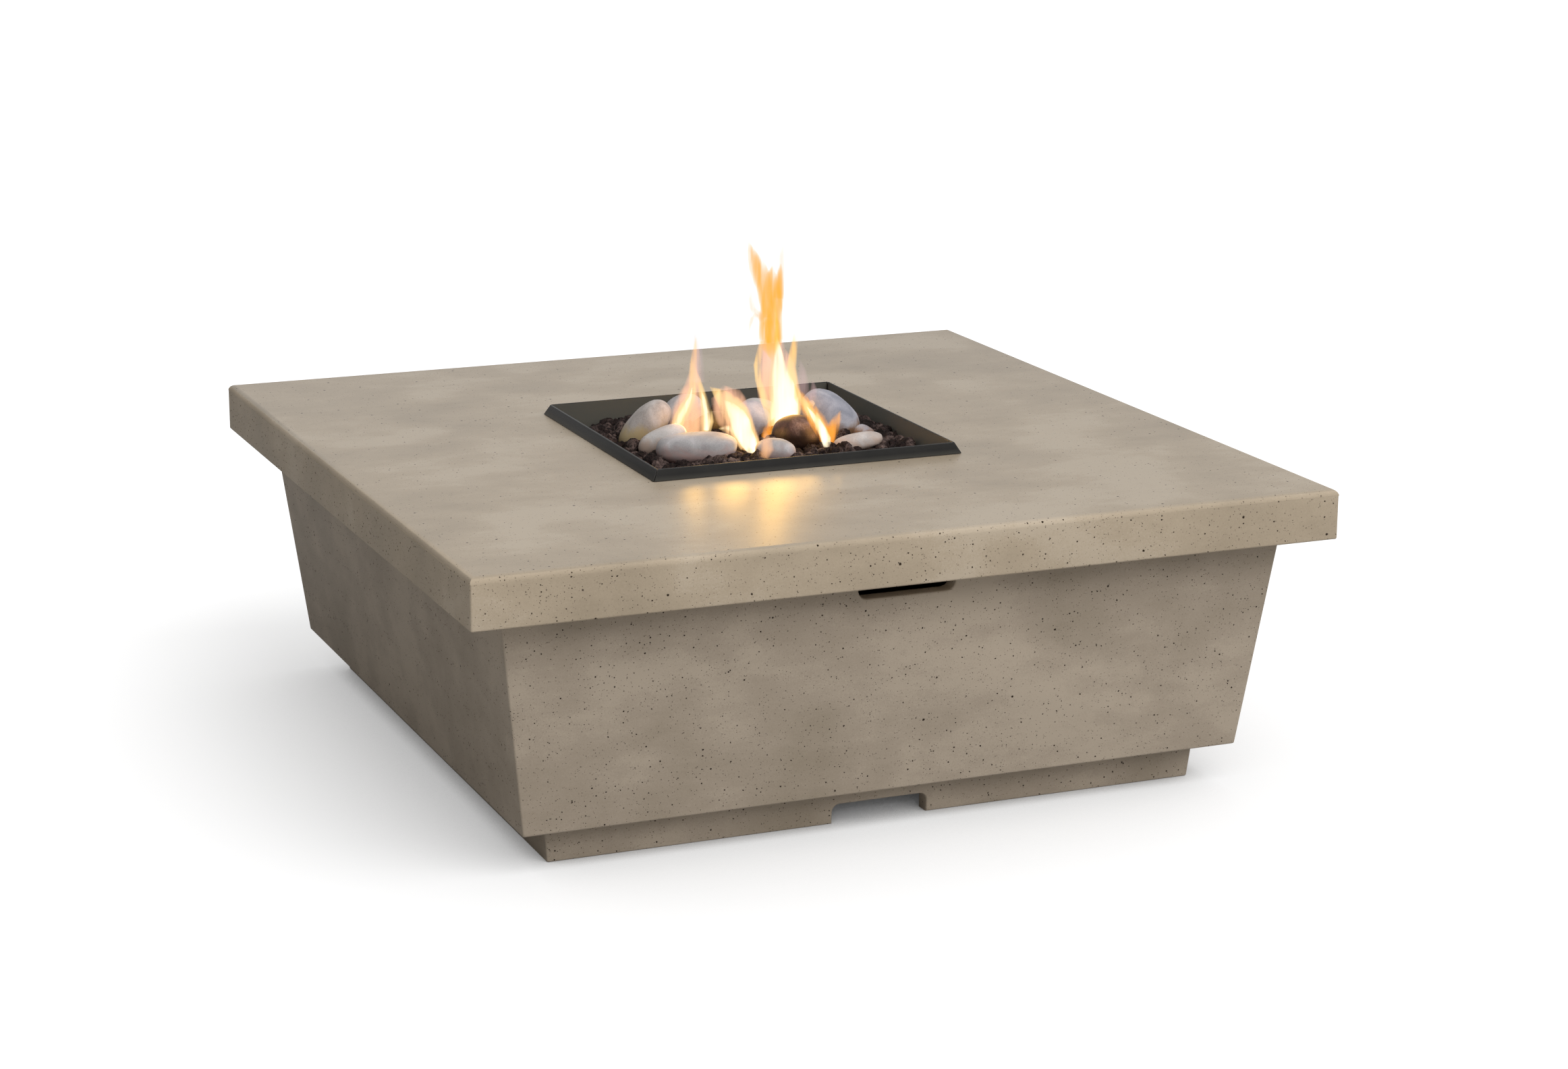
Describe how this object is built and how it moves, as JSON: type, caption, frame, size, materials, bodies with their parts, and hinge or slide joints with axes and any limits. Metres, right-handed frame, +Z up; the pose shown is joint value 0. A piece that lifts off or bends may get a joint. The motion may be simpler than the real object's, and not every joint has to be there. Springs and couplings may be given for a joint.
{
  "type": "square gas fire pit",
  "caption": "Square concrete fire pit: thick overhanging slab on a tapered vented base and recessed plinth, with a drop-in steel burner tray of lava rock and river stones.",
  "frame": {"origin": "on the floor, under the centre of the square slab", "axes": "+Z up; -Y towards the front face, where the vent slot and the plinth notch are; +X towards the side with the key valve"},
  "size_m": [1.1176, 1.1176, 0.4456],
  "materials": {
    "concrete_slab": "cast concrete, sealed, semi-gloss",
    "concrete_base": "cast concrete with small air holes, satin",
    "black_steel": "black powder coat, satin",
    "grate_steel": "mill finish, heat-darkened",
    "burner_stainless": "stainless, satin",
    "zinc_steel": "zinc plated",
    "brass": "machined brass",
    "chrome": "polished chrome",
    "red_paint": "dipped vinyl over steel",
    "lava_rock": "porous volcanic rock, matt",
    "river_stone_grey": "water-worn pebble, matt",
    "river_stone_brown": "water-worn pebble, mottled brown, matt"
  },
  "bodies": {
    "base": {"table_top": "concrete_slab", "base_body": "concrete_base", "base_plinth": "concrete_base", "burner_hose": "burner_stainless", "supply_hose": "burner_stainless", "cleat_right": "zinc_steel", "cleat_back": "zinc_steel", "cleat_left": "zinc_steel", "cleat_front": "zinc_steel", "cleat_right_slab_bolt": "zinc_steel", "cleat_back_slab_bolt": "zinc_steel", "cleat_left_slab_bolt": "zinc_steel", "cleat_front_slab_bolt": "zinc_steel", "cleat_right_wall_bolt": "zinc_steel", "cleat_back_wall_bolt": "zinc_steel", "cleat_left_wall_bolt": "zinc_steel", "cleat_front_wall_bolt": "zinc_steel", "inlet_bracket": "zinc_steel", "bracket_screw_1": "zinc_steel", "bracket_screw_2": "zinc_steel", "key_valve_body": "brass", "key_valve_locknut": "brass", "shutoff_valve_body": "brass", "inlet_locknut": "brass", "key_valve_escutcheon": "chrome"},
    "burner_tray": {"frame_rail_right": "black_steel", "frame_rail_back": "black_steel", "frame_rail_left": "black_steel", "frame_rail_front": "black_steel", "tray_pan": "black_steel", "grate_support_left": "black_steel", "grate_support_right": "black_steel", "media_grate": "grate_steel", "burner_ring": "burner_stainless", "burner_nipple": "zinc_steel", "burner_locknut": "zinc_steel", "air_mixer": "zinc_steel", "burner_orifice": "brass", "lava_rock_bed": "lava_rock", "river_stone_01": "river_stone_grey", "river_stone_02": "river_stone_grey", "river_stone_03": "river_stone_grey", "river_stone_04": "river_stone_grey", "river_stone_05": "river_stone_brown", "river_stone_06": "river_stone_grey", "river_stone_07": "river_stone_grey", "river_stone_08": "river_stone_grey", "river_stone_09": "river_stone_brown", "river_stone_10": "river_stone_grey", "river_stone_11": "river_stone_grey", "river_stone_12": "river_stone_grey"},
    "valve_stem": {"key_valve_stem": "brass"},
    "valve_key": {"valve_key": "chrome"},
    "shutoff_lever": {"shutoff_lever": "red_paint", "shutoff_lever_nut": "zinc_steel"}
  },
  "joints": [
    {"name": "tray_lift", "type": "slide", "parent": "base", "child": "burner_tray", "axis": [0, 0, 1], "range_m": [0, 0.22]},
    {"name": "valve_turn", "type": "hinge", "parent": "base", "child": "valve_stem", "pos_m": [0.49216, 0, 0.2], "axis": [0.9927, 0, -0.1208], "range_deg": [0, 90]},
    {"name": "key_pull", "type": "slide", "parent": "valve_stem", "child": "valve_key", "axis": [0.9927, 0, -0.1208], "range_m": [0, 0.06]},
    {"name": "shutoff_turn", "type": "hinge", "parent": "base", "child": "shutoff_lever", "pos_m": [0.405, 0.12, 0.125], "axis": [0, 0, 1], "range_deg": [-90, 0]}
  ]
}
